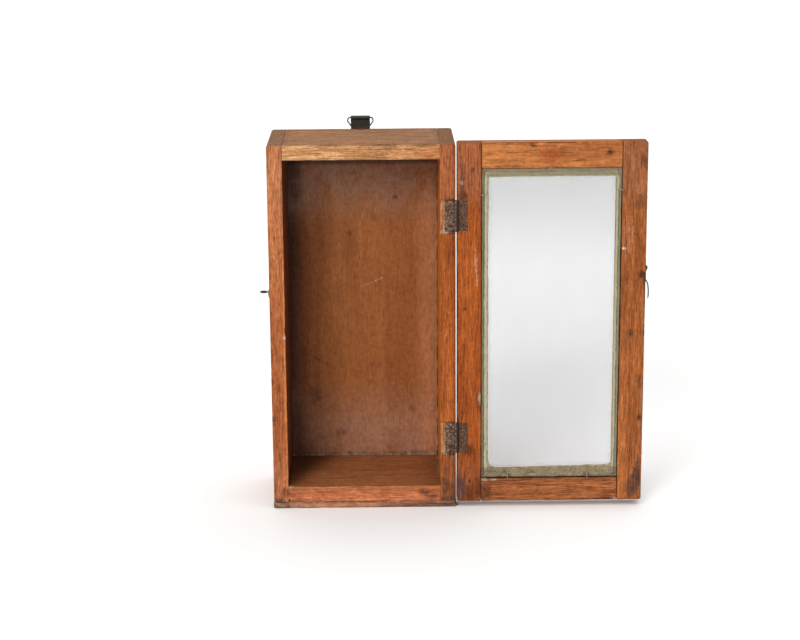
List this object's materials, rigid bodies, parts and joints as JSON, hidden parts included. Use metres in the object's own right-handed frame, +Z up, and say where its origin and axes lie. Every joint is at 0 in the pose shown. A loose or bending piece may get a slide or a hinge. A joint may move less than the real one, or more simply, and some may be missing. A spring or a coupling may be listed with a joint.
{
  "type": "small glazed wooden wall case",
  "caption": "Small wooden wall case with a putty-glazed door on two butt hinges, a wire hook latch and a ring to hang it by.",
  "frame": {"origin": "underside of the base board, under the middle of the case without its door", "axes": "+X to the side with the hinges, +Y to the back of the case, +Z up; at rest the door is folded back by 180 degrees, beside the case"},
  "size_m": [0.3455, 0.0996, 0.3442],
  "materials": {
    "side_wood": "old orange-brown stain, vertical grain",
    "case_wood": "old lighter orange-brown stain, horizontal grain",
    "base_wood": "dark worn stain",
    "panel_wood": "matte brown with a dull purple-grey bloom",
    "door_wood": "old reddish-brown varnish with dark streaks",
    "rail_wood": "old orange-brown varnish, horizontal grain",
    "nail_steel": "dull rusty",
    "black_steel": "black, worn satin",
    "hinge_steel": "dark bronzed and rusty",
    "screw_steel": "rusty slotted heads",
    "wire_steel": "dark oxidised wire",
    "brass": "dull and tarnished",
    "glass": "clear old window glass",
    "putty": "hard grey-green linseed putty, matte"
  },
  "bodies": {
    "case": {"left_side": "side_wood", "right_side": "side_wood", "top_board": "case_wood", "bottom_board": "case_wood", "base_board": "base_wood", "back_panel": "panel_wood", "carcass_nails": "nail_steel", "base_nails": "nail_steel", "back_panel_pins": "nail_steel", "hanger_plate": "black_steel", "hanger_screws": "black_steel", "upper_hinge_case_leaf": "hinge_steel", "lower_hinge_case_leaf": "hinge_steel", "upper_hinge_pin": "hinge_steel", "lower_hinge_pin": "hinge_steel", "case_hinge_screws": "screw_steel", "case_screw_eye": "wire_steel", "eye_washer": "brass"},
    "door": {"hinge_stile": "door_wood", "free_stile": "door_wood", "door_top_rail": "rail_wood", "door_bottom_rail": "rail_wood", "glass_pane": "glass", "glazing_putty": "putty", "glazing_sprigs": "nail_steel", "upper_hinge_door_leaf": "hinge_steel", "lower_hinge_door_leaf": "hinge_steel", "door_hinge_screws": "screw_steel", "hook_pivot_screw": "wire_steel"},
    "hook": {"latch_hook": "wire_steel"},
    "ring": {"hanger_ring": "black_steel"}
  },
  "joints": [
    {"name": "door_hinge", "type": "hinge", "parent": "case", "child": "door", "pos_m": [0.083, -0.0479, 0.167], "axis": [0, 0, 1], "range_deg": [-180, 2.5]},
    {"name": "hook_pivot", "type": "hinge", "parent": "door", "child": "hook", "pos_m": [0.25025, -0.04, 0.2189], "axis": [-1, 0, 0], "range_deg": [-180, 45]},
    {"name": "ring_swing", "type": "hinge", "parent": "case", "child": "ring", "pos_m": [-0.001, 0.0468, 0.3424], "axis": [-1, 0, 0], "range_deg": [0, 340]}
  ]
}
